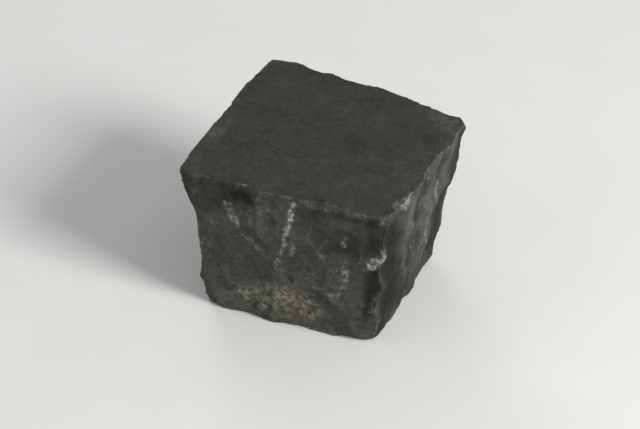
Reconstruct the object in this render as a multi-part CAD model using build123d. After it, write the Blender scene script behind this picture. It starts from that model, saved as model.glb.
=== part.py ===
from build123d import *

from dataclasses import dataclass
import math
import os
import random

# Basalt sett: one paving block, cropped on four sides from a sawn slab of stone.
#
# The sett is made the way the stone is worked. A slab is sawn to thickness, which leaves a flat
# wearing face and a flat bed. Each side is then cropped, which tears an uneven cleft that leans
# in towards the bed. Last, shell-shaped flakes break away from the clefts, the arrises and the
# corners.
#
# Millimetres. +Z is up, towards the wearing face. +X runs along the paving course. The origin is
# at the centre of the bed, and the front cleft faces -Y.

# Driving dimensions of the block.
HEIGHT = 80.0          # from the sawn bed to the sawn wearing face
HALF_SIDE = 50.0       # half of the nominal 100 mm square of the wearing face
SLAB_SIDE = 140.0      # the piece of slab that the block is cropped from

# Sampling of a cleft before a smooth surface is drawn through it.
STATIONS_ALONG = 27
STATIONS_UP = 11
OVERSHOOT_ALONG = 20.0  # how far a cleft runs past each end of its side
OVERSHOOT_UP = 6.0      # how far it runs past the wearing face and the bed
WASTE_THICKNESS = 45.0
CORNER_ROUNDS = 8       # steps that home in on where two clefts meet

# Forms that all clefts share, in shares of the height and of half a side.
FLUTE_SLANT = 0.12      # how far a flute drifts sideways for each millimetre of height
FLUTE_FADE = 0.6        # share of its depth that a flute loses on the way up
HEAVES = ((1.9, 2.6, 1.0, 1), (4.1, -5.3, 0.5, 2))  # waves along and up, share, phase shifts
UNDERCUT_FROM = 0.77    # an undercut starts below this share of the height
UNDERCUT_FULL = 0.52    # and is complete here
UNDERCUT_START = -0.5   # it starts to the right of this share of half a side
UNDERCUT_END = 0.8      # and is complete here

# Shells, chips and corner breaks, whose places and sizes are drawn by lot.
FLAKE_SEED = 41
SHELL_ROWS = 3              # of shells on a cleft, one above the other
SHELL_GAP = (20.0, 34.0)    # from one shell of a row to the next
SHELL_STRAY = 6.0           # how far a shell strays up or down from its row
SHELL_DEPTH = (1.5, 3.0)    # enough for neighbouring shells to meet in ridges
SHELL_RADIUS = (50.0, 100.0)
SHELL_SPARE = 1.1           # how much a cleft stands out before its shells break away
SPLINTERS = 5               # small shells on a cleft
SPLINTER_DEPTH = (1.6, 2.6)
SPLINTER_RADIUS = (26.0, 60.0)
CHIP_GAP = 21.0             # mean distance between the chips along an arris
CHIP_GAP_LEAST = 0.3        # the share of it that always stays between two chips
CHIP_DEPTH = (1.0, 2.7)
CHIP_RADIUS = (14.0, 50.0)  # of the hollow that a chip leaves
CHIP_TURN = (0.6, 1.6)      # above 1 it cuts more of the one side, below 1 more of the other
CHIP_SKEW = (-0.3, 0.3)     # how much it faces along the arris
BREAK_DEPTH = (3.0, 4.6)    # how much of each corner is lost
BREAK_RADIUS = 30.0
BREAK_RISE = 0.8            # how much a break faces up or down

UP = Vector(0, 0, 1)


def ramp(value, start, end):
    """Smooth step from 0 at start to 1 at end."""
    share = min(1.0, max(0.0, (value - start) / (end - start)))
    return share * share * (3 - 2 * share)


def spread(low, high, count):
    """Evenly spaced values from low to high."""
    return [low + (high - low) * i / (count - 1) for i in range(count)]


@dataclass(frozen=True)
class Cleft:
    """One cropped side. Seen from outside, t runs from left to right and z runs up."""

    facing: float        # direction of the outward normal, in degrees about +Z from +X
    reach: float         # how far the top arris stands from the middle of the block
    skew: float          # how much further out its right end stands than its left end
    bow: float           # how much its middle stands out from the line between its ends
    draft_left: float    # how far the bed arris stands back at the left end
    draft_right: float   # and at the right end
    belly: float         # how far the middle of the height stands out
    flute_pitch: float   # spacing of the upright ripples that the cropping leaves
    flute_depth: float
    heave: float         # depth of the broad, slow unevenness
    phase: float         # shifts ripples and unevenness along the side
    undercut: float = 0  # extra depth lost from the lower right of the side

    @property
    def outward(self):
        """Unit vector that points level out of the stone."""
        angle = math.radians(self.facing)
        return Vector(math.cos(angle), math.sin(angle), 0)

    @property
    def along(self):
        """Unit vector from left to right along the side."""
        angle = math.radians(self.facing + 90)
        return Vector(math.cos(angle), math.sin(angle), 0)

    def stand(self, t, z):
        """How far the cleft stands from the block's upright centre line at t and z."""
        share = t / HALF_SIDE
        rise = z / HEIGHT
        top = self.reach + self.skew / 2 * share + self.bow * (1 - share**2)
        draft = self.draft_left + (self.draft_right - self.draft_left) * (share + 1) / 2
        belly = self.belly * 4 * rise * (1 - rise)
        turns = (t + FLUTE_SLANT * z) / self.flute_pitch
        flute = self.flute_depth * math.cos(2 * math.pi * turns + self.phase)
        flute *= 1 - FLUTE_FADE * rise
        heave = self.heave * sum(
            part * math.sin(along * share + up * rise + shifts * self.phase)
            for along, up, part, shifts in HEAVES
        )
        loss = self.undercut * ramp(rise, UNDERCUT_FROM, UNDERCUT_FULL)
        loss *= ramp(share, UNDERCUT_START, UNDERCUT_END)
        return top + SHELL_SPARE - draft * (1 - rise) + belly + flute + heave - loss

    def point(self, t, z):
        """The point of the cleft at t and z."""
        return self.outward * self.stand(t, z) + self.along * t + UP * z

    def square(self, t, z):
        """Unit vector square to the cleft at t and z, out of the stone."""
        step = 1.0
        sideways = self.point(t + step, z) - self.point(t - step, z)
        upward = self.point(t, z + step) - self.point(t, z - step)
        return sideways.cross(upward).normalized()

    def waste(self):
        """The stone outside the cleft, which cropping takes off the slab."""
        reach = HALF_SIDE + OVERSHOOT_ALONG
        torn = Face.make_surface_from_array_of_points(
            [
                [self.point(t, z) for t in spread(-reach, reach, STATIONS_ALONG)]
                for z in spread(-OVERSHOOT_UP, HEIGHT + OVERSHOOT_UP, STATIONS_UP)
            ]
        )
        return extrude(torn, amount=WASTE_THICKNESS, dir=self.outward)


FRONT = Cleft(
    facing=270, reach=46.3, skew=-9.5, bow=0.8, draft_left=9.5, draft_right=12.0,
    belly=1.6, flute_pitch=31.0, flute_depth=0.4, heave=0.8, phase=0.6,
)
RIGHT = Cleft(
    facing=0, reach=48.4, skew=6.0, bow=2.0, draft_left=5.0, draft_right=8.0,
    belly=1.0, flute_pitch=25.0, flute_depth=0.6, heave=0.5, phase=2.5,
)
BACK = Cleft(
    facing=90, reach=49.2, skew=0.5, bow=1.2, draft_left=6.0, draft_right=7.5,
    belly=1.8, flute_pitch=28.0, flute_depth=0.3, heave=0.9, phase=4.0,
)
LEFT = Cleft(
    facing=180, reach=49.4, skew=2.5, bow=0.5, draft_left=6.0, draft_right=5.5,
    belly=0.8, flute_pitch=27.0, flute_depth=0.3, heave=0.7, phase=1.3, undercut=8.0,
)
CLEFTS = (FRONT, RIGHT, BACK, LEFT)


def dish(point, outward, depth, radius):
    """A ball that takes a shallow shell-shaped flake off the stone at the point."""
    outward = outward.normalized()
    centre = point + outward * (radius - depth)
    return Plane(origin=centre, x_dir=outward, z_dir=outward.cross(UP)) * Sphere(radius)


@dataclass(frozen=True)
class Scar:
    """A broad flake scar in a cleft, placed by its deepest point."""

    cleft: Cleft
    t: float
    z: float
    depth: float
    radius: float  # of the hollow

    def flake(self):
        """The stone that left the scar."""
        point = self.cleft.point(self.t, self.z)
        return dish(point, self.cleft.square(self.t, self.z), self.depth, self.radius)


SCARS = (
    Scar(FRONT, -19, 75, 3.0, 14),  # pit just under the wearing face
    Scar(FRONT, 30, 57, 3.8, 56),   # its upper left edge is a slanting step
    Scar(RIGHT, -34, 66, 3.8, 28),  # an upright hollow beside the front arris, in three shells
    Scar(RIGHT, -28, 46, 4.0, 30),
    Scar(RIGHT, -24, 26, 3.4, 34),
    Scar(LEFT, 34, 34, 3.2, 50),    # the shells of the deep undercut
    Scar(LEFT, 24, 10, 3.0, 44),
    Scar(LEFT, 46, 66, 4.4, 45),    # the front arris above it is lost too
)


def corner(left, right, z):
    """Where two neighbouring clefts meet at height z. The second is to the right of the first."""
    t_left, t_right = HALF_SIDE, -HALF_SIDE
    for _ in range(CORNER_ROUNDS):
        t_left = right.stand(t_right, z)
        t_right = -left.stand(t_left, z)
    return left.point(t_left, z)


def chance_flake(dice, point, outward, depths, radii):
    """A flake whose depth and radius are drawn from two spans. Deep and broad ones are rare."""
    depth = depths[0] + (depths[1] - depths[0]) * dice.random() ** 2
    radius = radii[0] * (radii[1] / radii[0]) ** dice.random()
    return dish(point, outward, depth, radius)


def cleft_shells(dice, cleft):
    """Broad shells all over one cleft, which meet in ridges."""
    shells = []
    for row in range(SHELL_ROWS):
        level = (row + 0.5) * HEIGHT / SHELL_ROWS
        t = dice.uniform(0, SHELL_GAP[0]) - HALF_SIDE
        while t < HALF_SIDE:
            z = level + dice.uniform(-SHELL_STRAY, SHELL_STRAY)
            outward = cleft.square(t, z)
            point = cleft.point(t, z)
            shells.append(chance_flake(dice, point, outward, SHELL_DEPTH, SHELL_RADIUS))
            t += dice.uniform(*SHELL_GAP)
    return shells


def cleft_splinters(dice, cleft):
    """Small shells anywhere on one cleft, which break its ridges."""
    splinters = []
    for _ in range(SPLINTERS):
        t = dice.uniform(-HALF_SIDE, HALF_SIDE)
        z = dice.uniform(0, HEIGHT)
        outward = cleft.square(t, z)
        point = cleft.point(t, z)
        splinters.append(chance_flake(dice, point, outward, SPLINTER_DEPTH, SPLINTER_RADIUS))
    return splinters


def gap(dice):
    """The distance to the next chip. Chips crowd in some places and are rare in others."""
    return CHIP_GAP * (CHIP_GAP_LEAST + (1 - CHIP_GAP_LEAST) * dice.expovariate(1.0))


def level_arris_chips(dice, cleft):
    """Chips along the top and bed arrises of one cleft."""
    chips = []
    for level, up_or_down in ((HEIGHT, UP), (0.0, -UP)):
        t = gap(dice) - HALF_SIDE
        while t < HALF_SIDE:
            outward = cleft.outward * dice.uniform(*CHIP_TURN) + up_or_down
            outward += cleft.along * dice.uniform(*CHIP_SKEW)
            point = cleft.point(t, level)
            chips.append(chance_flake(dice, point, outward, CHIP_DEPTH, CHIP_RADIUS))
            t += gap(dice)
    return chips


def upright_arris_chips(dice, left, right):
    """Chips down the arris between two neighbouring clefts."""
    chips = []
    z = gap(dice)
    while z < HEIGHT:
        outward = left.outward * dice.uniform(*CHIP_TURN) + right.outward
        outward += UP * dice.uniform(*CHIP_SKEW)
        point = corner(left, right, z)
        chips.append(chance_flake(dice, point, outward, CHIP_DEPTH, CHIP_RADIUS))
        z += gap(dice)
    return chips


def corner_breaks(dice, left, right):
    """The blunted top and bed corners between two neighbouring clefts."""
    breaks = []
    for level, up_or_down in ((HEIGHT, UP), (0.0, -UP)):
        outward = left.outward + right.outward + up_or_down * BREAK_RISE
        depth = dice.uniform(*BREAK_DEPTH)
        breaks.append(dish(corner(left, right, level), outward, depth, BREAK_RADIUS))
    return breaks


def crop_slab():
    """The slab with its four sides cropped away."""
    slab = Pos(0, 0, HEIGHT / 2) * Box(SLAB_SIDE, SLAB_SIDE, HEIGHT)
    for cleft in CLEFTS:
        slab -= cleft.waste()
    return slab


def make_sett():
    """The finished block, with the middle of its bed at the origin."""
    dice = random.Random(FLAKE_SEED)
    flakes = [scar.flake() for scar in SCARS]
    for cleft, neighbour in zip(CLEFTS, CLEFTS[1:] + CLEFTS[:1]):
        flakes += cleft_shells(dice, cleft)
        flakes += cleft_splinters(dice, cleft)
        flakes += level_arris_chips(dice, cleft)
        flakes += upright_arris_chips(dice, cleft, neighbour)
        flakes += corner_breaks(dice, cleft, neighbour)
    sett = crop_slab()
    for flake in flakes:
        sett = sett.cut(flake)
    box = sett.bounding_box()
    return Pos(-box.center().X, -box.center().Y, -box.min.Z) * sett


def main():
    os.makedirs("parts", exist_ok=True)
    sett = make_sett()
    sett.label = "sett"
    print("faces", len(sett.faces()), "volume", round(sett.volume), "valid", sett.is_valid)
    print("size", sett.bounding_box().size)
    export_step(sett, "parts/sett.step")


if __name__ == "__main__":
    main()
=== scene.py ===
"""Basalt sett: torn clefts, bruised arrises and the dry stone finish of one cropped paving block.

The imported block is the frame. A dense skin of it is roughened the way cropping roughens stone,
and replaces it. Names that end in _mm are millimetres, and everything else is metres.
"""

from dataclasses import dataclass
from enum import Enum
import logging
import math

import bpy
from mathutils import Matrix, Vector, noise
import numpy as np


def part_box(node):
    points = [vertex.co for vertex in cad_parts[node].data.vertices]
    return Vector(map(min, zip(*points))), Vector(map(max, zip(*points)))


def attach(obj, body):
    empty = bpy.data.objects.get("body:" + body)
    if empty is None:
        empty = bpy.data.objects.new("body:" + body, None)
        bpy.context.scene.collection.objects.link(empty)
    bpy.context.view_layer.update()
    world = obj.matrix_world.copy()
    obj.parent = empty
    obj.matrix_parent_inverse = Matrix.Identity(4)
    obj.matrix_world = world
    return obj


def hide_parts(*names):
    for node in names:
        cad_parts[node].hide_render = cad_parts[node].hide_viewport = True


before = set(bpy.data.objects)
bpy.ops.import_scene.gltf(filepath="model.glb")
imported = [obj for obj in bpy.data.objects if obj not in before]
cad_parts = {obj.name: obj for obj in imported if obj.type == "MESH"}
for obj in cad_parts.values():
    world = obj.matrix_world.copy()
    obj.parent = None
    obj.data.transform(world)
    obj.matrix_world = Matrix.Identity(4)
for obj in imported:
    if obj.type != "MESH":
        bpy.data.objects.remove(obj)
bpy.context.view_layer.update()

LOG = logging.getLogger("sett")
MM = 0.001
MIDDLE = Vector((0.5, 0.5, 0.5))
NEUTRAL = 0.5     # the paleness that leaves the stone as it is
NO_LENGTH = 1e-9  # keeps a mark at one place from dividing by zero
MIX_SHARE, MIX_UNDER, MIX_OVER, MIX_RESULT = 0, 6, 7, 2  # the colour sockets of a mix node


def tone(red: int, green: int, blue: int) -> tuple[float, float, float, float]:
    """Turn a colour as a screen shows it into the linear colour that a shader takes.

    Args:
        red: Red from 0 to 255.
        green: Green from 0 to 255.
        blue: Blue from 0 to 255.

    Returns:
        Linear red, green, blue and an alpha of 1.
    """
    channels = []
    for value in (red, green, blue):
        share = value / 255
        linear = share / 12.92 if share <= 0.04045 else ((share + 0.055) / 1.055) ** 2.4
        channels.append(linear)
    return (*channels, 1.0)


def blend_step(values: np.ndarray, start: float, end: float) -> np.ndarray:
    """Smooth step from 0 at start to 1 at end.

    Args:
        values: Any array of numbers.
        start: Where the step leaves 0.
        end: Where the step reaches 1.

    Returns:
        The step at each value.
    """
    share = np.clip((values - start) / (end - start), 0, 1)
    return share * share * (3 - 2 * share)


def lifted(mask: np.ndarray, least: float) -> np.ndarray:
    """Squeeze a mask that runs from 0 to 1, so that it starts at a least value."""
    return least + (1 - least) * mask


class Part(Enum):
    """The kinds of surface on a sett, which are also its material slots in order."""

    CLEFT = 0
    WEARING_FACE = 1
    BED = 2


class Side(Enum):
    """The sides that carry marks.

    Each has the way it faces, the two axes that a place on it has, and how far in millimetres
    it leans back from its outermost point.
    """

    FRONT = ((0, -1, 0), (1, 0, 0), (0, 0, 1), 18)
    RIGHT = ((1, 0, 0), (0, 1, 0), (0, 0, 1), 12)
    BACK = ((0, 1, 0), (1, 0, 0), (0, 0, 1), 20)
    LEFT = ((-1, 0, 0), (0, 1, 0), (0, 0, 1), 20)
    TOP = ((0, 0, 1), (1, 0, 0), (0, 1, 0), 3)


class Layer(Enum):
    """What is painted on the skin's points for the materials to read."""

    ARRIS = "arris"
    RIDGE = "ridge"
    # painted shade in small hollows, together with soil and painted shadow marks
    HOLLOW = "hollow"
    BRUISE = "bruise"
    STAIN = "stain"
    # paleness, with painted highlight on the crests of the streaks among it
    PALENESS = "paleness"


@dataclass(frozen=True)
class Flaking:
    """Flake scars of one size: shallow dishes, each tilted its own way, that meet in ridges."""

    size_mm: float
    depth_mm: float
    upright: float = 1.0   # how many times longer a scar is upright than across
    wander: float = 0.3    # how far the ridges wander, in shares of the size
    tilt: float = 1.6      # how steeply the scars tilt, in shares of their depth
    offset: float = 0.0    # moves the pattern, so that two layers differ
    bends: float = 1.3     # how many times a ridge bends over one size
    radius: float = 0.5    # of a scar, in shares of the size
    spread: float = 0.5    # how much the scars differ in depth, in shares of it

    def heights_mm(self, points_mm: np.ndarray) -> np.ndarray:
        """How far the scarred stone stands out at each point.

        Args:
            points_mm: Points on the skin, one in each row.

        Returns:
            Heights, from about minus the depth in the dishes to half of it on the ridges.
        """
        shrink = np.array([1, 1, 1 / self.upright]) / self.size_mm
        heights = np.empty(len(points_mm))
        for i, row in enumerate(points_mm * shrink + self.offset):
            place = Vector(row)
            place += self.wander * noise.noise_vector(place * self.bends)
            heights[i] = min(self._dish(place, heart) for heart in noise.voronoi(place)[1])
        return heights * self.depth_mm

    def _dish(self, place: Vector, heart: Vector) -> float:
        """Height of one dish at a place, in shares of its depth.

        Args:
            place: The place, in cells.
            heart: The deepest point of the dish, in cells.

        Returns:
            The height.
        """
        away = place - heart
        lot = noise.cell_vector(heart) - MIDDLE
        bowl = away.length_squared / self.radius ** 2 - 1
        return bowl + self.tilt * away.dot(lot) + self.spread * lot.x


@dataclass(frozen=True)
class Swell:
    """Soft unevenness of one size."""

    size_mm: float
    relief_mm: float
    octaves: int = 3
    upright: float = 1.0  # how many times longer a swell is upright than across
    offset: float = 0.0   # moves the pattern, so that two swells differ
    fade: float = 0.8     # how fast the finer octaves weaken
    step: float = 2.1     # how many times finer each octave is

    def heights_mm(self, points_mm: np.ndarray) -> np.ndarray:
        """How far the swell stands out at each point.

        Args:
            points_mm: Points on the skin, one in each row.

        Returns:
            Heights about zero.
        """
        shrink = np.array([1, 1, 1 / self.upright]) / self.size_mm
        places = points_mm * shrink + self.offset
        return self.relief_mm * np.array(
            [noise.fractal(Vector(place), self.fade, self.step, self.octaves) for place in places]
        )


@dataclass(frozen=True)
class Mark:
    """A mark on one side that follows a line of places, or lies round one place."""

    side: Side
    route_mm: tuple[tuple[float, float], ...]
    radius_mm: float
    strength: float
    core: float = 0.2                          # the share of the radius that has full strength
    facing: tuple[float, float] = (0.12, 0.5)  # how squarely a point faces the side's way
    fade_mm: float = 2.0                       # over which the mark ends where the side does

    def cover(self, points_mm: np.ndarray, normals: np.ndarray) -> np.ndarray:
        """How strongly the mark covers each point, from 0 to its strength.

        Args:
            points_mm: Points on the skin, one in each row.
            normals: Their unit normals.

        Returns:
            The cover of each point.
        """
        *axes, lean_mm = self.side.value
        outward, *across = np.array(axes, dtype=float)
        places = points_mm @ np.array(across).T
        route = np.array(self.route_mm)
        nearest = np.full(len(places), np.inf)
        for start, end in zip(route, route[1:] if len(route) > 1 else route):
            run = end - start
            square = max(run @ run, NO_LENGTH)
            share = np.clip((places - start) @ run / square, 0, 1)
            gap = np.linalg.norm(places - start - share[:, None] * run, axis=1)
            nearest = np.minimum(nearest, gap)
        reach = points_mm @ outward
        least = reach.max() - lean_mm
        there = blend_step(normals @ outward, *self.facing)
        there *= blend_step(reach, least - self.fade_mm, least)
        beyond = blend_step(nearest, self.core * self.radius_mm, self.radius_mm)
        return self.strength * there * (1 - beyond)


class Skin:
    """The points, edges and normals of a dense mesh, as arrays."""

    def __init__(self, mesh: bpy.types.Mesh) -> None:
        """Read the mesh.

        Args:
            mesh: The mesh that the skin reads and writes.
        """
        self.mesh = mesh
        count = len(mesh.vertices)
        flat = np.empty(count * 3)
        mesh.vertices.foreach_get("co", flat)
        self.points_mm = flat.reshape(count, 3) / MM
        ends = np.empty(len(mesh.edges) * 2, dtype=np.int64)
        mesh.edges.foreach_get("vertices", ends)
        self.ends = ends.reshape(-1, 2)
        self.degree = np.bincount(ends, minlength=count)[:, None]

    def wandered(self, steps: tuple[tuple[float, float], ...]) -> np.ndarray:
        """The points, each shifted a little, so that what follows them gets ragged outlines.

        Args:
            steps: Sizes of unevenness, and how far each shifts a point, in millimetres.

        Returns:
            The shifted points, in millimetres.
        """
        shift = sum(
            reach * np.array([noise.noise_vector(Vector(point) / size) for point in self.points_mm])
            for size, reach in steps
        )
        return self.points_mm + shift

    def smoothed(self, values: np.ndarray, rounds: int) -> np.ndarray:
        """Average values with their neighbours' over and over.

        Args:
            values: One row of values for each point.
            rounds: How many times to average.

        Returns:
            The averaged rows.
        """
        first, second = self.ends.T
        count = len(values)
        for _ in range(rounds):
            around = np.empty_like(values)
            for k in range(values.shape[1]):
                around[:, k] = np.bincount(first, values[second, k], count)
                around[:, k] += np.bincount(second, values[first, k], count)
            values = (values + around) / (self.degree + 1)
        return values

    def normals(self) -> np.ndarray:
        """The unit normals of the points as they lie now.

        Returns:
            One normal in each row.
        """
        self.write()
        flat = np.empty(len(self.points_mm) * 3)
        self.mesh.vertex_normals.foreach_get("vector", flat)
        return flat.reshape(-1, 3)

    def bulge_mm(self, rounds: int) -> np.ndarray:
        """How far each point stands out of its averaged surroundings.

        Args:
            rounds: How many times to average, which sets the size of what counts.

        Returns:
            Distances, above zero on ridges and below zero in hollows.
        """
        offset = self.points_mm - self.smoothed(self.points_mm, rounds)
        return np.einsum("ij,ij->i", offset, self.normals())

    def write(self) -> None:
        """Put the points back into the mesh."""
        self.mesh.vertices.foreach_set("co", (self.points_mm * MM).ravel())
        self.mesh.update()

    def paint(self, layer: Layer, values: np.ndarray) -> None:
        """Store one value for each point under the layer's name.

        Args:
            layer: Which layer to paint.
            values: One number for each point.
        """
        attribute = self.mesh.attributes.new(layer.value, "FLOAT", "POINT")
        attribute.data.foreach_set("value", np.clip(values, 0, 1).astype(np.float32))


class Wiring:
    """Adds nodes to a node tree and joins their sockets."""

    def __init__(self, tree: bpy.types.NodeTree) -> None:
        """Take the tree, and start it empty.

        Args:
            tree: A material's tree or a node group.
        """
        self.tree = tree
        tree.nodes.clear()

    def add(self, kind: str, inputs: dict | None = None, **settings: object) -> bpy.types.Node:
        """Add one node.

        Args:
            kind: The node's type, such as ShaderNodeMath.
            inputs: For socket names or numbers, a constant or the socket to join.
            **settings: Properties of the node itself.

        Returns:
            The new node.
        """
        node = self.tree.nodes.new(kind)
        for name, value in settings.items():
            setattr(node, name, value)
        for key, value in (inputs or {}).items():
            if isinstance(value, bpy.types.NodeSocket):
                self.tree.links.new(value, node.inputs[key])
            else:
                node.inputs[key].default_value = value
        return node

    def math(self, operation: str, first: object, second: object = 0.0) -> bpy.types.NodeSocket:
        """Join two values by arithmetic.

        Args:
            operation: The name of the operation, such as MULTIPLY.
            first: A socket or a number.
            second: A socket or a number.

        Returns:
            The result's socket.
        """
        return self.add("ShaderNodeMath", {0: first, 1: second}, operation=operation).outputs[0]

    def scaled(self, value: object, factor: object, offset: object) -> bpy.types.NodeSocket:
        """Multiply a value and add to it.

        Args:
            value: A socket or a number.
            factor: What it is multiplied by.
            offset: What is then added.

        Returns:
            The result's socket.
        """
        inputs = {0: value, 1: factor, 2: offset}
        return self.add("ShaderNodeMath", inputs, operation="MULTIPLY_ADD").outputs[0]

    def steep(self, value: object, start: float, end: float) -> bpy.types.NodeSocket:
        """Turn a value into a mask by a smooth step.

        Args:
            value: A socket or a number.
            start: The value at which the mask is 0.
            end: The value at which the mask is 1.

        Returns:
            The mask's socket.
        """
        node = self.add(
            "ShaderNodeMapRange",
            {"Value": value, "From Min": start, "From Max": end},
            interpolation_type="SMOOTHSTEP",
        )
        return node.outputs["Result"]

    def mix(self, share: object, under: object, over: object) -> bpy.types.NodeSocket:
        """Lay one colour over another.

        Args:
            share: How much of the upper colour shows.
            under: The lower colour or its socket.
            over: The upper colour or its socket.

        Returns:
            The mixed colour's socket.
        """
        inputs = {MIX_SHARE: share, MIX_UNDER: under, MIX_OVER: over}
        return self.add("ShaderNodeMix", inputs, data_type="RGBA").outputs[MIX_RESULT]

    def cloud(self, place: object, size_mm: float, detail: float = 3.0) -> bpy.types.NodeSocket:
        """Soft noise with blobs of about one size.

        Args:
            place: The socket of the place on the surface, in metres.
            size_mm: The size of a blob.
            detail: How many finer layers it has.

        Returns:
            A value about 0.5.
        """
        noise_inputs = {"Vector": place, "Scale": 1 / (size_mm * MM), "Detail": detail}
        return self.add("ShaderNodeTexNoise", noise_inputs).outputs["Fac"]

    def cells(self, place: object, size_mm: float) -> tuple[bpy.types.Node, bpy.types.Node]:
        """Split the surface into cells of about one size, and draw three numbers for each.

        Args:
            place: The socket of the place on the surface, in metres.
            size_mm: From one cell to the next.

        Returns:
            The node of the cells, and the node that holds the numbers as colour channels.
        """
        inputs = {"Vector": place, "Scale": 1 / (size_mm * MM), "Randomness": 1.0}
        cells = self.add("ShaderNodeTexVoronoi", inputs)
        return cells, self.add("ShaderNodeSeparateColor", {"Color": cells.outputs["Color"]})

    def layer(self, layer: Layer) -> bpy.types.NodeSocket:
        """Read a layer that is painted on the skin."""
        return self.add("ShaderNodeAttribute", attribute_name=layer.value).outputs["Fac"]


@dataclass
class StoneEffects:
    """The shader groups that the finishes of the stone share.

    The limits are the values of a cloud or of a distance at which a mask is 0 and 1.
    """

    fine_mm: float = 0.55     # blobs of the three clouds in the groundmass
    coarse_mm: float = 3.2
    broad_mm: float = 17.0
    fine_share: float = 0.35
    coarse_share: float = 0.35
    broad_share: float = 0.3
    brown_mm: float = 13.0
    brown_limits: tuple[float, float] = (0.48, 0.66)
    brown_share: float = 0.6
    crystal_mm: float = 0.9   # from one crystal to the next
    crystal_limits: tuple[float, float] = (0.42, 0.18)
    lath_share: float = 0.7
    dark_lot: float = 0.8     # a crystal that draws more than this is dark
    dark_share: float = 0.5
    dark: tuple[float, float, float, float] = tone(22, 22, 21)
    fine_height: float = 0.7  # shares of the grain's height
    coarse_height: float = 0.5
    crystal_height: float = 0.12
    patch_mm: float = 6.0     # patches of crushed stone
    patch_limits: tuple[float, float] = (0.42, 0.62)
    crumb_mm: float = 1.1     # crumbs in the patches
    crumb_limits: tuple[float, float] = (0.4, 0.58)
    crumb_share: float = 0.8
    pit_mm: float = 1.9       # from one pit to the next
    pit_limits: tuple[float, float] = (0.38, 0.24)
    pit_edge_mm: float = 0.7  # raggedness of a pit's edge
    pit_edge_share: float = 0.3

    def __post_init__(self) -> None:
        """Build each group once."""
        self.grain = self._grain()
        self.crushed = self._crushed()
        self.pits = self._pits()

    @staticmethod
    def _group(
        name: str, inputs: dict[str, str], outputs: dict[str, str]
    ) -> tuple[bpy.types.NodeTree, Wiring, bpy.types.Node, bpy.types.Node]:
        """Start a shader group with its sockets.

        Args:
            name: The group's name.
            inputs: The type of each input by its name.
            outputs: The type of each output by its name.

        Returns:
            The group, its wiring, and the nodes that hold its inputs and its outputs.
        """
        group = bpy.data.node_groups.new(name, "ShaderNodeTree")
        for direction, sockets in (("INPUT", inputs), ("OUTPUT", outputs)):
            for socket, kind in sockets.items():
                group.interface.new_socket(socket, in_out=direction, socket_type=kind)
        wiring = Wiring(group)
        return group, wiring, wiring.add("NodeGroupInput"), wiring.add("NodeGroupOutput")

    def _grain(self) -> bpy.types.NodeTree:
        """Build the grain: groundmass, brown clouds, pale laths and dark crystals.

        Returns:
            A group that gives a colour and a height.
        """
        colour, number, vector = "NodeSocketColor", "NodeSocketFloat", "NodeSocketVector"
        group, wiring, given, result = self._group(
            "Basalt grain",
            {
                "Place": vector, "Ground": colour, "Shade": colour, "Brown": colour,
                "Lath": colour, "Contrast": number, "Laths": number,
            },
            {"Color": colour, "Height": number},
        )
        place = given.outputs["Place"]
        fine = wiring.cloud(place, self.fine_mm, 4.0)
        coarse = wiring.cloud(place, self.coarse_mm, 4.0)
        broad = wiring.cloud(place, self.broad_mm, 3.0)
        blotch = wiring.scaled(broad, self.broad_share, -0.5)
        blotch = wiring.scaled(fine, self.fine_share, blotch)
        blotch = wiring.scaled(coarse, self.coarse_share, blotch)
        share = wiring.scaled(blotch, given.outputs["Contrast"], 0.5)
        body = wiring.mix(share, given.outputs["Shade"], given.outputs["Ground"])
        brown = wiring.steep(wiring.cloud(place, self.brown_mm), *self.brown_limits)
        brown = wiring.math("MULTIPLY", brown, self.brown_share)
        body = wiring.mix(brown, body, given.outputs["Brown"])
        cells, lot = wiring.cells(place, self.crystal_mm)
        heart = wiring.steep(cells.outputs["Distance"], *self.crystal_limits)
        chosen = wiring.math("LESS_THAN", lot.outputs["Red"], given.outputs["Laths"])
        lath = wiring.math("MULTIPLY", heart, chosen)
        lath = wiring.math("MULTIPLY", lath, self.lath_share)
        body = wiring.mix(lath, body, given.outputs["Lath"])
        chosen = wiring.math("GREATER_THAN", lot.outputs["Green"], self.dark_lot)
        dark = wiring.math("MULTIPLY", heart, chosen)
        body = wiring.mix(wiring.math("MULTIPLY", dark, self.dark_share), body, self.dark)
        height = wiring.math("MULTIPLY", heart, self.crystal_height)
        height = wiring.scaled(coarse, self.coarse_height, height)
        height = wiring.scaled(fine, self.fine_height, height)
        wiring.tree.links.new(body, result.inputs["Color"])
        wiring.tree.links.new(height, result.inputs["Height"])
        return group

    def _crushed(self) -> bpy.types.NodeTree:
        """Build the crushed stone: pale powdery bruises on arrises, ridges and blows.

        Returns:
            A group that gives the mask of the pale stone.
        """
        number, vector = "NodeSocketFloat", "NodeSocketVector"
        group, wiring, given, result = self._group(
            "Crushed stone",
            {"Place": vector, "Arris": number, "Ridge": number, "Bruise": number, "Amount": number},
            {"Mask": number},
        )
        place = given.outputs["Place"]
        patches = wiring.steep(wiring.cloud(place, self.patch_mm, 5.0), *self.patch_limits)
        crumbs = wiring.steep(wiring.cloud(place, self.crumb_mm, 4.0), *self.crumb_limits)
        wear = wiring.math("MAXIMUM", given.outputs["Arris"], given.outputs["Ridge"])
        wear = wiring.math("MULTIPLY", wear, patches)
        wear = wiring.math("MULTIPLY", wear, given.outputs["Amount"])
        wear = wiring.math("ADD", wear, given.outputs["Bruise"])
        speckled = wiring.scaled(crumbs, self.crumb_share, 1 - self.crumb_share)
        wear = wiring.math("MULTIPLY", wear, speckled)
        mask = wiring.add("ShaderNodeClamp", {"Value": wear}).outputs["Result"]
        wiring.tree.links.new(mask, result.inputs["Mask"])
        return group

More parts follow.
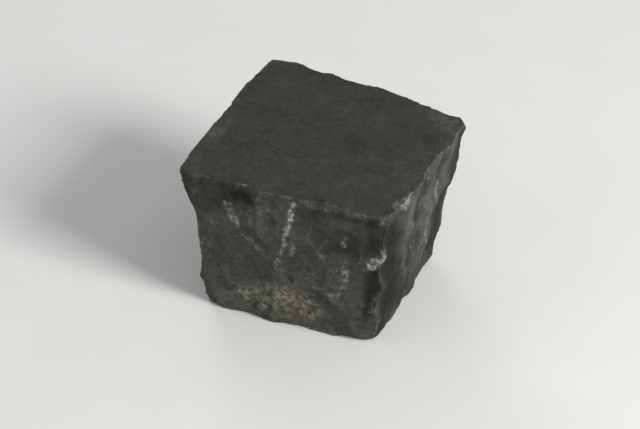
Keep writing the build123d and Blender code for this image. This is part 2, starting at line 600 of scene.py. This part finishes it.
    def _pits(self) -> bpy.types.NodeTree:
        """Build the pits: small open gas bubbles and lost grains.

        Returns:
            A group that gives the mask of the pits.
        """
        number, vector = "NodeSocketFloat", "NodeSocketVector"
        group, wiring, given, result = self._group(
            "Stone pits",
            {"Place": vector, "Share": number},
            {"Mask": number},
        )
        place = given.outputs["Place"]
        cells, lot = wiring.cells(place, self.pit_mm)
        chosen = wiring.math("LESS_THAN", lot.outputs["Blue"], given.outputs["Share"])
        edge = wiring.math("MULTIPLY", wiring.cloud(place, self.pit_edge_mm), self.pit_edge_share)
        near = wiring.math("ADD", cells.outputs["Distance"], edge)
        mask = wiring.math("MULTIPLY", wiring.steep(near, *self.pit_limits), chosen)
        wiring.tree.links.new(mask, result.inputs["Mask"])
        return group


@dataclass(frozen=True)
class StoneFinish:
    """One finish of the stone: its colours, how rough it is and how much it shows its marks."""

    name: str
    ground: tuple[float, float, float, float]
    shade: tuple[float, float, float, float]
    brown: tuple[float, float, float, float]
    lath: tuple[float, float, float, float]
    powder: tuple[float, float, float, float]
    contrast: float       # of the grain
    laths: float          # share of the crystals that are pale
    crushing: float       # how pale worn arrises and ridges are
    pit_share: float      # share of the cells that hold a pit
    roughness: float
    bump_mm: float        # height of the grain
    unevenness: float = 1.1  # how much the paleness layer lightens and darkens it
    # painted shade and soil: the colour towards which small hollows and the dark marks are darkened
    shade_soil_colour: tuple[float, float, float, float] = tone(34, 33, 29)
    shade_soil_share: float = 0.75
    lichen: tuple[float, float, float, float] = tone(152, 150, 130)
    lichen_mm: float = 2.1
    lichen_limits: tuple[float, float] = (0.3, 0.7)
    # painted shade: the colour that open pits are darkened towards, for the shade inside them
    pit: tuple[float, float, float, float] = tone(20, 20, 18)
    pit_darkness: float = 0.7
    pit_depth: float = 1.6   # in heights of the grain
    powder_roughness: float = 0.2  # how much rougher crushed stone is
    sheen_mm: float = 1.4    # size of the spots that differ in roughness
    sheen: float = 0.16      # how much they differ
    specular: float = 0.25

    def material(self, effects: StoneEffects) -> bpy.types.Material:
        """Build the material.

        Args:
            effects: The shared shader groups.

        Returns:
            The new material.
        """
        material = bpy.data.materials.new(self.name)
        material.use_nodes = True
        wiring = Wiring(material.node_tree)
        place = wiring.add("ShaderNodeTexCoord").outputs["Object"]
        grain = wiring.add("ShaderNodeGroup", node_tree=effects.grain)
        crushed = wiring.add("ShaderNodeGroup", node_tree=effects.crushed)
        pits = wiring.add("ShaderNodeGroup", node_tree=effects.pits)
        for group in (grain, crushed, pits):
            wiring.tree.links.new(place, group.inputs["Place"])
        grain.inputs["Ground"].default_value = self.ground
        grain.inputs["Shade"].default_value = self.shade
        grain.inputs["Brown"].default_value = self.brown
        grain.inputs["Lath"].default_value = self.lath
        grain.inputs["Contrast"].default_value = self.contrast
        grain.inputs["Laths"].default_value = self.laths
        crushed.inputs["Amount"].default_value = self.crushing
        pits.inputs["Share"].default_value = self.pit_share
        for layer in (Layer.ARRIS, Layer.RIDGE, Layer.BRUISE):
            wiring.tree.links.new(wiring.layer(layer), crushed.inputs[layer.name.title()])

        # painted shade: small hollows and the painted shadow marks are darkened here, along with
        # real soil
        dim = wiring.math("MULTIPLY", wiring.layer(Layer.HOLLOW), self.shade_soil_share)
        colour = wiring.mix(dim, grain.outputs["Color"], self.shade_soil_colour)
        # the paleness layer lightens and darkens the colour, with painted highlight on the streak
        # crests and painted shadow among it
        base = 1 - self.unevenness * NEUTRAL
        lift = wiring.scaled(wiring.layer(Layer.PALENESS), self.unevenness, base)
        inputs = {0: colour, "Scale": lift}
        colour = wiring.add("ShaderNodeVectorMath", inputs, operation="SCALE").outputs[0]
        lichen = wiring.steep(wiring.cloud(place, self.lichen_mm, 6.0), *self.lichen_limits)
        stain = wiring.math("MULTIPLY", wiring.layer(Layer.STAIN), lichen)
        colour = wiring.mix(stain, colour, self.lichen)
        colour = wiring.mix(crushed.outputs["Mask"], colour, self.powder)
        # painted shade inside the pits
        dark = wiring.math("MULTIPLY", pits.outputs["Mask"], self.pit_darkness)
        colour = wiring.mix(dark, colour, self.pit)

        least = self.roughness - self.sheen / 2
        dryness = wiring.scaled(crushed.outputs["Mask"], self.powder_roughness, least)
        rough = wiring.scaled(wiring.cloud(place, self.sheen_mm, 4.0), self.sheen, dryness)
        height = wiring.scaled(pits.outputs["Mask"], -self.pit_depth, grain.outputs["Height"])
        bump = wiring.add(
            "ShaderNodeBump", {"Height": height, "Strength": 1.0, "Distance": self.bump_mm * MM}
        )
        shader = wiring.add(
            "ShaderNodeBsdfPrincipled",
            {"Base Color": colour, "Roughness": rough, "Normal": bump.outputs[0]},
        )
        shader.inputs["Specular IOR Level"].default_value = self.specular
        wiring.add("ShaderNodeOutputMaterial", {"Surface": shader.outputs[0]})
        return material


FINISHES = {
    Part.CLEFT: StoneFinish(
        name="Cleft basalt",
        ground=tone(84, 83, 76),
        shade=tone(38, 38, 34),
        brown=tone(69, 66, 61),
        lath=tone(118, 116, 108),
        powder=tone(176, 175, 164),
        contrast=3.5,
        laths=0.10,
        crushing=0.23,
        pit_share=0.03,
        roughness=0.86,
        bump_mm=0.35,
    ),
    Part.WEARING_FACE: StoneFinish(
        name="Worn sawn basalt",
        ground=tone(52, 53, 45),
        shade=tone(24, 25, 20),
        brown=tone(53, 48, 42),
        lath=tone(84, 84, 78),
        powder=tone(112, 111, 104),
        contrast=3.8,
        laths=0.08,
        crushing=0.15,
        pit_share=0.05,
        roughness=0.8,
        bump_mm=0.14,
    ),
    Part.BED: StoneFinish(
        name="Sawn basalt bed",
        ground=tone(76, 76, 70),
        shade=tone(58, 58, 54),
        brown=tone(74, 69, 64),
        lath=tone(104, 104, 97),
        powder=tone(140, 140, 132),
        contrast=1.3,
        laths=0.09,
        crushing=0.5,
        pit_share=0.06,
        roughness=0.8,
        bump_mm=0.2,
    ),
}


@dataclass
class BasaltSett:
    """The block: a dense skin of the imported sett, torn, chipped and dressed.

    The limits are the values at which a mask is 0 and 1. Rounds are rounds of averaging.
    """

    node: str = "sett"
    slot: str = "basalt"
    seed: int = 7                 # fixes noise_vector, which would take its offsets from the time
    voxel_mm: float = 0.62
    most_triangles: int = 190_000
    flat: float = 0.97            # a point whose normal is this upright lies on a sawn face
    flat_facet: float = 0.9       # the same for a triangle of the finished skin
    sawn_mm: float = 1.0          # how deep a sawn face lies at most
    rim_rounds: int = 45          # carry the tearing a little past the arris
    arris_rounds: int = 10
    arris_limits: tuple[float, float] = (0.12, 0.5)
    wear_rounds: int = 3
    wear: float = 0.6             # how far an arris is worn down to the averaged form
    arris_calm: float = 0.4       # how much less an arris crumbles
    seam_rounds: int = 2          # blend the roughness between the clefts and the sawn faces
    ridge_rounds: int = 3
    ridge_limits: tuple[float, float] = (0.03, 0.14)
    hollow_limits: tuple[float, float] = (0.04, 0.18)
    splinter_limits: tuple[float, float] = (-0.15, 0.35)
    least_splinters: float = 0.2  # how strong splinters are where the cleft is whole
    least_flutes: float = 0.3     # how strong the streaks are away from the right
    chip_limits: tuple[float, float] = (-0.3, 0.3)
    least_chips: float = 0.35     # how deep the arrises are flaked where the stone is whole
    more_chips: float = 0.9       # and how much deeper where it is splintered
    break_limits: tuple[float, float] = (-0.3, 0.2)
    least_bruise: float = 0.25    # what is left of a mark where it is broken up
    least_stain: float = 0.5
    wander: tuple[tuple[float, float], ...] = ((7.0, 1.4), (2.2, 0.9))  # of the marks' outlines
    hollow_shade: float = 0.55     # how much painted shade darkens small hollows
    bleach_paleness: float = 0.5
    # how much the soil and painted shadow marks darken the paleness layer
    soil_shade_darkness: float = 0.45
    shells: tuple[Flaking | Swell, ...] = (
        Swell(24.0, 0.25, 2, upright=1.5),
        Flaking(13.0, 0.3, upright=1.4),
    )
    splinters: tuple[Flaking | Swell, ...] = (
        Flaking(8.5, 0.42, offset=7.3),
        Flaking(4.1, 0.2, offset=3.1),
        Swell(1.9, 0.1, 3, offset=17.9),
    )
    splintered: Swell = Swell(21.0, 1.0, 3, offset=43.1)  # where the clefts are splintered
    breaks: Swell = Swell(2.8, 1.0, 2, offset=61.3)       # where marks are whole or broken up
    streaks: tuple[Swell, ...] = (
        Swell(8.5, 0.5, 2, upright=6.0, offset=51.9),
        Swell(3.0, 0.13, 2, upright=10.0, offset=31.7),
    )
    arris_flakes: tuple[Flaking, ...] = (
        Flaking(9.0, 0.7, offset=23.3),
        Flaking(3.4, 0.35, offset=13.7),
    )
    crumble: Swell = Swell(1.2, 0.09, 3, offset=11.3)
    polish: Swell = Swell(9.0, 0.05, 4, offset=5.1)
    flute_highlight: float = 1.15   # painted highlight: how much paler the crests of the streaks are painted, as if lit
    blows: tuple[Mark, ...] = (
        Mark(Side.FRONT, ((3.2, 77), (2.0, 68)), 1.9, 1.0),
        Mark(Side.FRONT, ((2.0, 68), (-0.4, 53)), 1.5, 0.8),
        Mark(Side.FRONT, ((-0.4, 53), (-2.6, 46)), 1.6, 0.9),
        Mark(Side.FRONT, ((-2.6, 46), (-4.0, 35.7)), 1.5, 0.4),
        Mark(Side.FRONT, ((4.0, 52), (2.5, 45)), 1.6, 0.45),
        Mark(Side.FRONT, ((-28, 67), (-24.5, 62), (-22, 58)), 2.4, 0.6),
        Mark(Side.FRONT, ((-18, 51), (-14.6, 47.2), (-7.6, 40.3)), 1.9, 0.4),
        Mark(Side.FRONT, ((26.1, 61.4), (26, 57)), 1.9, 0.35),
        Mark(Side.FRONT, ((28.9, 44), (25.9, 31.9)), 2.2, 0.4),
        Mark(Side.FRONT, ((20, 28), (26, 27)), 1.8, 0.3),
        Mark(Side.FRONT, ((40.3, 50.5), (42.5, 52)), 3.8, 1.4),
        Mark(Side.FRONT, ((-44, 50), (-41, 35)), 2.0, 0.6),
        Mark(Side.RIGHT, ((-39, 55),), 3.2, 0.6),
        Mark(Side.RIGHT, ((-26, 79), (-20, 76)), 4.5, 0.9),
        Mark(Side.RIGHT, ((14, 64), (16, 56), (18.5, 47)), 3.0, 0.6),
        Mark(Side.RIGHT, ((18, 38), (22.4, 24)), 2.6, 0.35),
        Mark(Side.TOP, ((45, -31), (48, -23)), 3.2, 1.0),
        Mark(Side.TOP, ((8.6, 0.7),), 1.6, 0.5),
        Mark(Side.TOP, ((-45, -7), (-47, -20)), 4.0, 0.3),
        Mark(Side.TOP, ((40, 43), (46, 38)), 9.0, 0.35),
        Mark(Side.BACK, ((-30, 70), (-27, 58)), 1.8, 0.7),
        Mark(Side.BACK, ((12, 74), (14, 62), (11, 52)), 1.6, 0.6),
        Mark(Side.BACK, ((30, 40), (36, 36)), 2.0, 0.4),
        Mark(Side.BACK, ((-8, 33), (-3, 26)), 1.8, 0.4),
        Mark(Side.LEFT, ((20, 72), (17, 60)), 2.2, 0.6),
        Mark(Side.LEFT, ((-22, 66), (-18, 50)), 1.6, 0.5),
        Mark(Side.LEFT, ((-35, 40), (-31, 33)), 2.4, 0.4),
    )
    weathering: tuple[Mark, ...] = (
        Mark(Side.FRONT, ((-13, 13), (2, 18), (11, 14)), 12.5, 0.75),
        Mark(Side.RIGHT, ((-38, 59), (-38, 56)), 3.5, 0.7),
        Mark(Side.FRONT, ((-20, 12), (-28, 8)), 6.0, 0.25),
        Mark(Side.FRONT, ((43, 30), (42, 8)), 4.0, 0.3),
        Mark(Side.BACK, ((8, 12), (24, 8)), 9.0, 0.5),
        Mark(Side.LEFT, ((-6, 8),), 7.0, 0.35),
    )
    bleaching: tuple[Mark, ...] = (
        Mark(Side.FRONT, ((-44, 14), (-26, 7)), 9.0, 0.35),
        Mark(Side.FRONT, ((-9, 37), (-4, 33)), 6.5, 0.75),
        Mark(Side.FRONT, ((-37, 48), (-36, 40)), 5.0, 0.3),
        Mark(Side.FRONT, ((40, 78), (43, 45)), 2.5, 0.3),
        Mark(Side.FRONT, ((-26, 3), (-8, 4), (8, 3), (22, 4)), 5.0, 0.45),
        Mark(Side.RIGHT, ((-14, 74), (-12, 60)), 6.0, 0.5),
        Mark(Side.RIGHT, ((-1, 66), (8, 50), (20, 38), (26, 28)), 5.0, 1.3),
        Mark(Side.TOP, ((48, -28), (46, -5), (48, 10)), 8.0, 0.7),
        Mark(Side.TOP, ((48, 10), (48, 32)), 7.0, 1.2),
        Mark(Side.TOP, ((-49, -36), (-46, -20)), 8.0, 0.5),
        Mark(Side.TOP, ((-34, -38), (36, -30), (40, 0)), 26.0, 0.34),
        Mark(Side.TOP, ((42, 40),), 16.0, 0.4),
        Mark(Side.BACK, ((-40, 60), (-36, 20)), 9.0, 0.6),
        Mark(Side.BACK, ((20, 62), (24, 28)), 10.0, 0.5),
        Mark(Side.LEFT, ((31, 70), (27, 20)), 9.0, 0.6),
        Mark(Side.LEFT, ((-30, 22), (-10, 12)), 9.0, 0.5),
    )
    # Dark marks, partly soil and green tint and partly painted shadow: the long band in the hollow
    # beside the front-right arris, the line under the slanting step across the front and the pit
    # under the front's top arris are painted shadow.
    soiling_and_shade: tuple[Mark, ...] = (
        Mark(Side.FRONT, ((-50, 77), (-30, 73)), 11.0, 0.55),
        Mark(Side.FRONT, ((42, 44), (42, 30), (42, 8)), 7.5, 1.1),
        Mark(Side.FRONT, ((19, 53), (27, 55)), 4.0, 0.4),
        Mark(Side.FRONT, ((39, 78), (40, 69), (40, 60)), 5.0, 0.65),
        Mark(Side.FRONT, ((12, 71), (14, 62), (23, 61), (32, 55)), 9.0, 0.4),
        Mark(Side.FRONT, ((14, 76), (38, 75)), 5.0, 0.45),
        Mark(Side.FRONT, ((-46, 65), (-34, 64)), 6.0, 0.35),
        Mark(Side.FRONT, ((-23, 73), (-15.5, 72)), 4.5, 0.9),
        Mark(
            Side.RIGHT, ((-36, 66), (-31, 58), (-27, 47), (-25, 36), (-23, 25), (-21, 8)), 13.5, 1.1
        ),
        Mark(Side.RIGHT, ((-8, 13), (14, 8)), 12.0, 0.4),
        Mark(Side.RIGHT, ((-9, 62), (-5, 52), (4, 36)), 5.0, 0.35),
        Mark(Side.RIGHT, ((43, 72), (39, 58), (36, 36), (33, 16)), 12.0, 0.85),
        Mark(Side.BACK, ((-12, 74), (-10, 40)), 10.0, 0.5),
        Mark(Side.BACK, ((40, 70), (38, 40)), 7.0, 0.5),
        Mark(Side.LEFT, ((0, 76), (3, 50), (0, 30)), 10.0, 0.5),
        Mark(Side.LEFT, ((-44, 60), (-40, 20)), 7.0, 0.5),
    )

    def build(self, effects: StoneEffects) -> bpy.types.Object:
        """Make the finished block.

        Args:
            effects: The shared shader groups.

        Returns:
            The block, which replaces its CAD node.
        """
        noise.seed_set(self.seed)
        block = self._dense_copy()
        skin = Skin(block.data)
        normals = skin.normals()
        parts = self._sort(normals[:, 2], skin.points_mm[:, 2], self.flat)
        arris = blend_step(skin.bulge_mm(self.arris_rounds), *self.arris_limits)
        flutes = self._tear(skin, normals)
        self._flake_arrises(skin, arris)
        self._crumble(skin, parts, arris)
        self._keep_inside(skin)
        skin.write()
        self._paint(skin, arris, flutes)
        self._dress(block, effects)
        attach(block, "root")
        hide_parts(self.node)
        return block

    def _dense_copy(self) -> bpy.types.Object:
        """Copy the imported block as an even, dense mesh with no more than the most triangles.

        Returns:
            The new object.
        """
        rough = bpy.data.objects.new("rough_sett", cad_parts[self.node].data.copy())
        bpy.context.scene.collection.objects.link(rough)
        remesh = rough.modifiers.new("voxels", "REMESH")
        remesh.mode = "VOXEL"
        remesh.voxel_size = self.voxel_mm * MM
        thin = rough.modifiers.new("thin", "DECIMATE")
        thin.use_collapse_triangulate = True
        depsgraph = bpy.context.evaluated_depsgraph_get()
        thin.show_viewport = False
        depsgraph.update()
        dense = rough.evaluated_get(depsgraph)
        triangles = 2 * len(dense.data.polygons)
        thin.show_viewport = True
        thin.ratio = min(1.0, self.most_triangles / triangles)
        depsgraph.update()
        mesh = bpy.data.meshes.new_from_object(rough.evaluated_get(depsgraph))
        bpy.data.objects.remove(rough)
        mesh.name = "basalt_sett"
        block = bpy.data.objects.new("basalt_sett", mesh)
        bpy.context.scene.collection.objects.link(block)
        return block

    def _sort(self, up: np.ndarray, height_mm: np.ndarray, flat: float) -> np.ndarray:
        """Find what of the skin belongs to the wearing face and to the bed.

        Args:
            up: How far each unit normal points up.
            height_mm: How high each one stands.
            flat: How far up or down a normal on a sawn face points at least.

        Returns:
            For each one, the value of its part.
        """
        parts = np.full(len(up), Part.CLEFT.value, dtype=np.int32)
        high = height_mm > height_mm.max() - self.sawn_mm
        low = height_mm < height_mm.min() + self.sawn_mm
        parts[(up > flat) & high] = Part.WEARING_FACE.value
        parts[(up < -flat) & low] = Part.BED.value
        return parts

    def _tear(self, skin: Skin, normals: np.ndarray) -> np.ndarray:
        """Move the clefts level in and out, and the rims of the flat faces with them.

        Args:
            skin: The skin to move.
            normals: The unit normals of its points.

        Returns:
            How far each point stands out on an upright streak, in millimetres.
        """
        level = skin.smoothed(normals, self.rim_rounds)
        level[:, 2] = 0
        heights = sum(relief.heights_mm(skin.points_mm) for relief in self.shells)
        broken = blend_step(self.splintered.heights_mm(skin.points_mm), *self.splinter_limits)
        for relief in self.splinters:
            heights += lifted(broken, self.least_splinters) * relief.heights_mm(skin.points_mm)
        to_the_right = np.clip(level[:, 0], self.least_flutes, 1)
        flutes = to_the_right * sum(streak.heights_mm(skin.points_mm) for streak in self.streaks)
        skin.points_mm += level * (heights + flutes)[:, None]
        return flutes

    def _flake_arrises(self, skin: Skin, arris: np.ndarray) -> None:
        """Take small flakes off the arrises.

        Args:
            skin: The skin to move.
            arris: The mask of the arrises.
        """
        worn = skin.smoothed(skin.points_mm, self.wear_rounds)
        skin.points_mm += (worn - skin.points_mm) * (self.wear * arris)[:, None]
        outward = skin.smoothed(skin.normals(), self.wear_rounds)
        depth = sum(flake.heights_mm(skin.points_mm) for flake in self.arris_flakes)
        broken = blend_step(self.splintered.heights_mm(skin.points_mm), *self.chip_limits)
        chipped = self.least_chips + self.more_chips * broken
        skin.points_mm += outward * (arris * chipped * np.clip(depth, None, 0))[:, None]

    def _crumble(self, skin: Skin, parts: np.ndarray, arris: np.ndarray) -> None:
        """Give the clefts their fine roughness and the sawn faces their slight waves.

        Args:
            skin: The skin to move.
            parts: For each point, the value of its part.
            arris: The mask of the arrises.
        """
        normals = skin.normals()
        cleft = (parts == Part.CLEFT.value).astype(float)[:, None]
        torn = skin.smoothed(cleft, self.seam_rounds)[:, 0]
        rough = self.crumble.heights_mm(skin.points_mm)
        waves = self.polish.heights_mm(skin.points_mm) - self.polish.relief_mm
        depth = torn * rough + (1 - torn) * waves
        skin.points_mm += normals * (depth * (1 - self.arris_calm * arris))[:, None]

    def _keep_inside(self, skin: Skin) -> None:
        """Keep the skin inside the CAD box.

        Args:
            skin: The skin to hold back.
        """
        low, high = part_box(self.node)
        skin.points_mm = np.clip(skin.points_mm, np.array(low) / MM, np.array(high) / MM)

    def _paint(self, skin: Skin, arris: np.ndarray, flutes: np.ndarray) -> None:
        """Paint the layers that the materials read.

        Args:
            skin: The finished skin.
            arris: The mask of the arrises before they were flaked.
            flutes: How far each point stands out on an upright streak.
        """
        bulge = skin.bulge_mm(self.ridge_rounds)
        normals = skin.smoothed(skin.normals(), self.ridge_rounds)
        ragged = skin.wandered(self.wander)
        # bruises, stains, soil with painted shadow, and bleached patches from the listed marks
        bruise, stain, soil_shade, bleach = (
            sum(mark.cover(ragged, normals) for mark in marks)
            for marks in (self.blows, self.weathering, self.soiling_and_shade, self.bleaching)
        )
        whole = blend_step(self.breaks.heights_mm(skin.points_mm), *self.break_limits)
        # pale arrises and ridges are kept out of the soil and painted shadow
        unsoiled_unshaded = 1 - np.clip(soil_shade, 0, 1)
        skin.paint(Layer.ARRIS, unsoiled_unshaded * arris)
        skin.paint(Layer.RIDGE, unsoiled_unshaded * blend_step(bulge, *self.ridge_limits))
        # painted shade in small hollows, by how far they sink below their surroundings, plus the
        # soil and painted shadow marks
        hollow = blend_step(-bulge, *self.hollow_limits)
        skin.paint(Layer.HOLLOW, self.hollow_shade * hollow + soil_shade)
        skin.paint(Layer.BRUISE, bruise * lifted(whole, self.least_bruise))
        skin.paint(Layer.STAIN, stain * lifted(whole, self.least_stain))
        # painted highlight: the crests of the streaks are painted paler, mostly on the right face
        pale = NEUTRAL + self.flute_highlight * flutes + self.bleach_paleness * bleach
        # soil and painted shadow darken the paleness
        skin.paint(Layer.PALENESS, pale - self.soil_shade_darkness * soil_shade)

    def _dress(self, block: bpy.types.Object, effects: StoneEffects) -> None:
        """Give each part of the block its finish.

        Args:
            block: The finished block.
            effects: The shared shader groups.
        """
        mesh = block.data
        mesh.materials.clear()
        for part in Part:
            mesh.materials.append(FINISHES[part].material(effects))
        mesh.update()
        count = len(mesh.polygons)
        normals = np.empty(count * 3)
        mesh.polygons.foreach_get("normal", normals)
        centres = np.empty(count * 3)
        mesh.polygons.foreach_get("center", centres)
        up = normals.reshape(-1, 3)[:, 2]
        height_mm = centres.reshape(-1, 3)[:, 2] / MM
        slots = self._sort(up, height_mm, self.flat_facet)
        mesh.polygons.foreach_set("material_index", slots)
        mesh.polygons.foreach_set("use_smooth", np.ones(count, dtype=bool))
        mesh.update()


@dataclass(frozen=True)
class Lamp:
    """One square soft lamp."""

    name: str
    place: tuple[float, float, float]
    side: float
    watts: float

    def hang(self, aim: Vector) -> None:
        """Hang the lamp so that it faces a point.

        Args:
            aim: The point.
        """
        light = bpy.data.lights.new(self.name, "AREA")
        light.size = self.side
        light.energy = self.watts
        lamp = bpy.data.objects.new(self.name, light)
        turn = (Vector(self.place) - aim).to_track_quat("Z", "Y").to_matrix().to_4x4()
        lamp.matrix_world = Matrix.Translation(self.place) @ turn
        bpy.context.scene.collection.objects.link(lamp)


@dataclass
class Studio:
    """A plain pale floor, soft light and the camera. Angles are degrees."""

    floor_half: float = 6.0
    floor_roughness: float = 0.9
    floor_cloud_mm: float = 40.0
    floor_tones: tuple[tuple[float, float, float, float], ...] = (
        tone(222, 221, 217),
        tone(228, 227, 224),
    )
    sky: tuple[float, float, float, float] = tone(246, 247, 250)
    sky_light: float = 0.38     # what the sky gives the scene
    sky_shown: float = 0.42     # how much brighter the camera sees it
    lamps: tuple[Lamp, ...] = (
        Lamp("key", (1.3, -0.3, 1.0), side=0.6, watts=26.0),
        Lamp("fill", (-1.2, -1.1, 1.0), side=1.1, watts=3.0),
        Lamp("rim", (-1.2, 1.4, 0.6), side=0.9, watts=11.0),
    )
    azimuth: float = 18.65      # the camera stands this far to the right of the front
    elevation: float = 37.4
    distance: float = 1.1325
    roll: float = 6.0
    aim_height: float = 0.038
    lens_mm: float = 138.0
    clip_start: float = 0.01

    def build(self) -> None:
        """Make the floor, the sky, the lamps and the camera."""
        aim = Vector((0, 0, self.aim_height))
        self._floor()
        self._sky()
        for lamp in self.lamps:
            lamp.hang(aim)
        self._camera(aim)

    def _floor(self) -> None:
        """Lay the floor."""
        half = self.floor_half
        mesh = bpy.data.meshes.new("floor")
        corners = [(-half, -half, 0), (half, -half, 0), (half, half, 0), (-half, half, 0)]
        mesh.from_pydata(corners, [], [(0, 1, 2, 3)])
        floor = bpy.data.objects.new("floor", mesh)
        bpy.context.scene.collection.objects.link(floor)
        material = bpy.data.materials.new("Pale floor")
        material.use_nodes = True
        wiring = Wiring(material.node_tree)
        place = wiring.add("ShaderNodeTexCoord").outputs["Object"]
        colour = wiring.mix(wiring.cloud(place, self.floor_cloud_mm), *self.floor_tones)
        shader = wiring.add("ShaderNodeBsdfPrincipled", {"Base Color": colour})
        shader.inputs["Roughness"].default_value = self.floor_roughness
        wiring.add("ShaderNodeOutputMaterial", {"Surface": shader.outputs[0]})
        mesh.materials.append(material)

    def _sky(self) -> None:
        """Light the scene evenly, and show a pale background to the camera."""
        world = bpy.data.worlds.new("Studio")
        world.use_nodes = True
        wiring = Wiring(world.node_tree)
        path = wiring.add("ShaderNodeLightPath")
        seen = wiring.math("MAXIMUM", path.outputs["Is Camera Ray"], path.outputs["Is Glossy Ray"])
        seen = wiring.math("MAXIMUM", seen, path.outputs["Is Transmission Ray"])
        strength = wiring.scaled(seen, self.sky_shown, self.sky_light)
        glow = wiring.add("ShaderNodeBackground", {"Color": self.sky, "Strength": strength})
        wiring.add("ShaderNodeOutputWorld", {"Surface": glow.outputs[0]})
        bpy.context.scene.world = world

    def _camera(self, aim: Vector) -> None:
        """Put the camera where the photograph was taken from, with a longer lens.

        Args:
            aim: The point that it looks at.
        """
        azimuth = math.radians(self.azimuth)
        elevation = math.radians(self.elevation)
        away = Vector((
            math.sin(azimuth) * math.cos(elevation),
            -math.cos(azimuth) * math.cos(elevation),
            math.sin(elevation),
        ))
        lens = bpy.data.cameras.new("camera")
        lens.lens = self.lens_mm
        lens.clip_start = self.clip_start
        camera = bpy.data.objects.new("camera", lens)
        turn = away.to_track_quat("Z", "Y").to_matrix().to_4x4()
        tilt = Matrix.Rotation(math.radians(self.roll), 4, "Z")
        camera.matrix_world = Matrix.Translation(aim + away * self.distance) @ turn @ tilt
        bpy.context.scene.collection.objects.link(camera)
        bpy.context.scene.camera = camera


def main() -> None:
    """Build the block and its studio."""
    logging.basicConfig(level=logging.INFO, format="%(message)s")
    bpy.context.scene.view_settings.view_transform = "Standard"
    effects = StoneEffects()
    block = BasaltSett().build(effects)
    LOG.info("%s: %d triangles", block.name, len(block.data.polygons))
    Studio().build()
    LOG.info("studio: ready")


if __name__ == "__main__":
    main()
